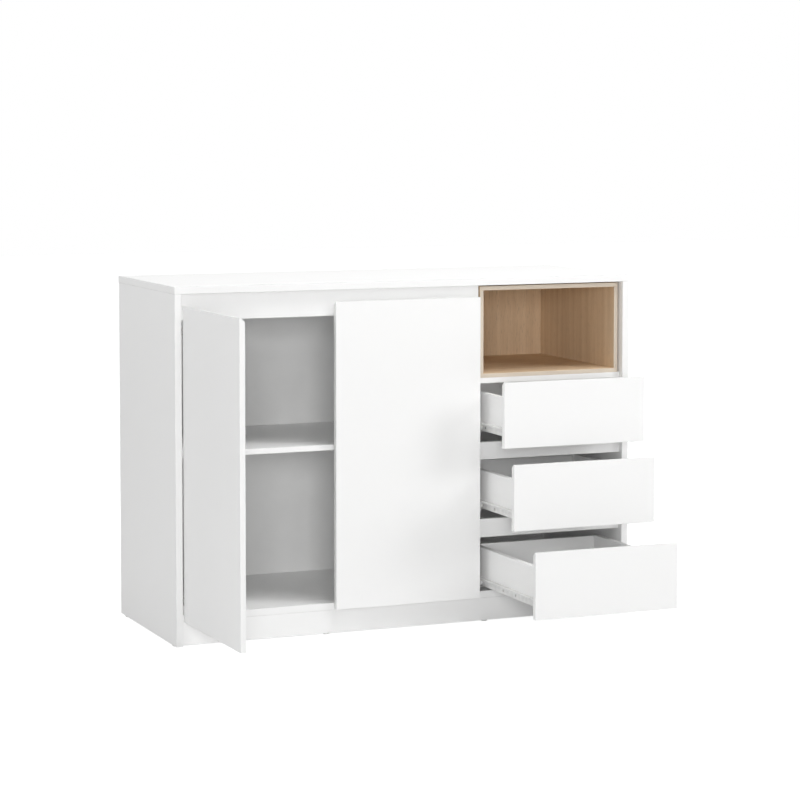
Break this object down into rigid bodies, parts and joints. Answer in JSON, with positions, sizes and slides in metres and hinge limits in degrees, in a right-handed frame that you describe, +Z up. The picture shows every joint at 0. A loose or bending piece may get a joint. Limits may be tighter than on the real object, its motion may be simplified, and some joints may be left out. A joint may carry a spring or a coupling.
{
  "type": "sideboard",
  "caption": "Low white sideboard with hinged doors over a shelved cupboard, an open oak-lined niche and a stack of finger-grip drawers on roller slides.",
  "frame": {"origin": "middle of the carcass footprint on the floor, below the centre of the support rail", "axes": "+Z up, +X along the width towards the drawers, -Y out of the front"},
  "size_m": [1.05, 0.7359, 0.75],
  "materials": {
    "white_board": "satin white-faced particle board",
    "oak_board": "matt light oak-faced board with vertical grain",
    "hardboard": "white-lacquered hardboard",
    "zinc": "dull die-cast zinc",
    "steel_screws": "zinc-plated",
    "pin_steel": "nickel-plated",
    "hinge_steel": "nickel-plated",
    "dowel_beech": "raw beech",
    "glide_plastic": "white plastic",
    "nylon": "white nylon",
    "coated_steel": "white epoxy-coated"
  },
  "bodies": {
    "carcass": {"bay_rail_high": "white_board", "bay_rail_low": "white_board", "bottom_panel": "white_board", "cabinet_slide_rails": "coated_steel", "cam_fittings": "zinc", "carcass_screws_and_nails": "steel_screws", "centre_partition": "white_board", "centre_support_rail": "white_board", "cupboard_shelf": "white_board", "floor_glides": "glide_plastic", "front_plinth": "white_board", "front_top_rail": "white_board", "hinge_arms": "hinge_steel", "left_back_panel": "hardboard", "left_side_panel": "white_board", "niche_back": "oak_board", "niche_floor": "oak_board", "niche_left_wall": "oak_board", "niche_right_wall": "oak_board", "niche_roof": "oak_board", "niche_support_board": "white_board", "rear_plinth": "white_board", "right_back_panel": "hardboard", "right_side_panel": "white_board", "shelf_pins": "pin_steel", "top_panel": "white_board", "wooden_dowels": "dowel_beech"},
    "lower_drawer": {"lower_drawer_back": "white_board", "lower_drawer_bottom": "hardboard", "lower_drawer_fittings": "steel_screws", "lower_drawer_front": "white_board", "lower_drawer_left_side": "white_board", "lower_drawer_right_side": "white_board", "lower_drawer_slide_rails": "coated_steel"},
    "lower_front_roller_pair": {"lower_front_rollers": "nylon"},
    "lower_rear_roller_pair": {"lower_rear_rollers": "nylon"},
    "middle_drawer": {"middle_drawer_back": "white_board", "middle_drawer_bottom": "hardboard", "middle_drawer_fittings": "steel_screws", "middle_drawer_front": "white_board", "middle_drawer_left_side": "white_board", "middle_drawer_right_side": "white_board", "middle_drawer_slide_rails": "coated_steel"},
    "middle_front_roller_pair": {"middle_front_rollers": "nylon"},
    "middle_rear_roller_pair": {"middle_rear_rollers": "nylon"},
    "upper_drawer": {"upper_drawer_back": "white_board", "upper_drawer_bottom": "hardboard", "upper_drawer_fittings": "steel_screws", "upper_drawer_front": "white_board", "upper_drawer_left_side": "white_board", "upper_drawer_right_side": "white_board", "upper_drawer_slide_rails": "coated_steel"},
    "upper_front_roller_pair": {"upper_front_rollers": "nylon"},
    "upper_rear_roller_pair": {"upper_rear_rollers": "nylon"},
    "left_door": {"left_door_panel": "white_board", "left_hinge_cups": "hinge_steel"},
    "right_door": {"right_door_panel": "white_board", "right_hinge_cups": "hinge_steel"},
    "left_door_links": {"left_hinge_links": "hinge_steel"},
    "right_door_links": {"right_hinge_links": "hinge_steel"}
  },
  "joints": [
    {"name": "left_door_hinge", "type": "hinge", "parent": "carcass", "child": "left_door", "pos_m": [-0.50825, -0.20025, 0.382], "axis": [0, 0, -1], "range_deg": [-89, 16]},
    {"name": "right_door_hinge", "type": "hinge", "parent": "carcass", "child": "right_door", "pos_m": [0.16625, -0.20025, 0.382], "axis": [0, 0, 1], "range_deg": [0, 90]},
    {"name": "left_hinge_links_turn", "type": "hinge", "parent": "carcass", "child": "left_door_links", "pos_m": [-0.50825, -0.20025, 0.382], "axis": [0, 0, -1], "range_deg": [-44.5, 8]},
    {"name": "right_hinge_links_turn", "type": "hinge", "parent": "carcass", "child": "right_door_links", "pos_m": [0.16625, -0.20025, 0.382], "axis": [0, 0, 1], "range_deg": [0, 45]},
    {"name": "lower_drawer_slide", "type": "slide", "parent": "carcass", "child": "lower_drawer", "axis": [0, -1, 0], "range_m": [-0.265, 0.005]},
    {"name": "lower_front_rollers_turn", "type": "hinge", "parent": "carcass", "child": "lower_front_roller_pair", "pos_m": [0.34, -0.174, 0.0864], "axis": [1, 0, 0], "range_deg": [-2080.4, 39.7]},
    {"name": "lower_rear_rollers_turn", "type": "hinge", "parent": "lower_drawer", "child": "lower_rear_roller_pair", "pos_m": [0.34, -0.113, 0.0864], "axis": [1, 0, 0], "range_deg": [-1650.9, 31.6]},
    {"name": "middle_drawer_slide", "type": "slide", "parent": "carcass", "child": "middle_drawer", "axis": [0, -1, 0], "range_m": [-0.16, 0.11]},
    {"name": "middle_front_rollers_turn", "type": "hinge", "parent": "carcass", "child": "middle_front_roller_pair", "pos_m": [0.34, -0.174, 0.2564], "axis": [1, 0, 0], "range_deg": [-1256.3, 863.9]},
    {"name": "middle_rear_rollers_turn", "type": "hinge", "parent": "middle_drawer", "child": "middle_rear_roller_pair", "pos_m": [0.34, -0.008, 0.2564], "axis": [1, 0, 0], "range_deg": [-996.9, 685.6]},
    {"name": "upper_drawer_slide", "type": "slide", "parent": "carcass", "child": "upper_drawer", "axis": [0, -1, 0], "range_m": [-0.111, 0.159]},
    {"name": "upper_front_rollers_turn", "type": "hinge", "parent": "carcass", "child": "upper_front_roller_pair", "pos_m": [0.34, -0.174, 0.4264], "axis": [1, 0, 0], "range_deg": [-871.7, 1248.4]},
    {"name": "upper_rear_rollers_turn", "type": "hinge", "parent": "upper_drawer", "child": "upper_rear_roller_pair", "pos_m": [0.34, 0.041, 0.4264], "axis": [1, 0, 0], "range_deg": [-691.8, 990.7]}
  ],
  "couplings": [
    {"joint": "left_hinge_links_turn", "follows": "left_door_hinge", "ratio": 0.5},
    {"joint": "right_hinge_links_turn", "follows": "right_door_hinge", "ratio": 0.5},
    {"joint": "lower_front_rollers_turn", "follows": "lower_drawer_slide", "rad_per_m": 136.99},
    {"joint": "lower_rear_rollers_turn", "follows": "lower_drawer_slide", "rad_per_m": 108.7},
    {"joint": "middle_front_rollers_turn", "follows": "middle_drawer_slide", "rad_per_m": 136.99},
    {"joint": "middle_rear_rollers_turn", "follows": "middle_drawer_slide", "rad_per_m": 108.7},
    {"joint": "upper_front_rollers_turn", "follows": "upper_drawer_slide", "rad_per_m": 136.99},
    {"joint": "upper_rear_rollers_turn", "follows": "upper_drawer_slide", "rad_per_m": 108.7}
  ]
}
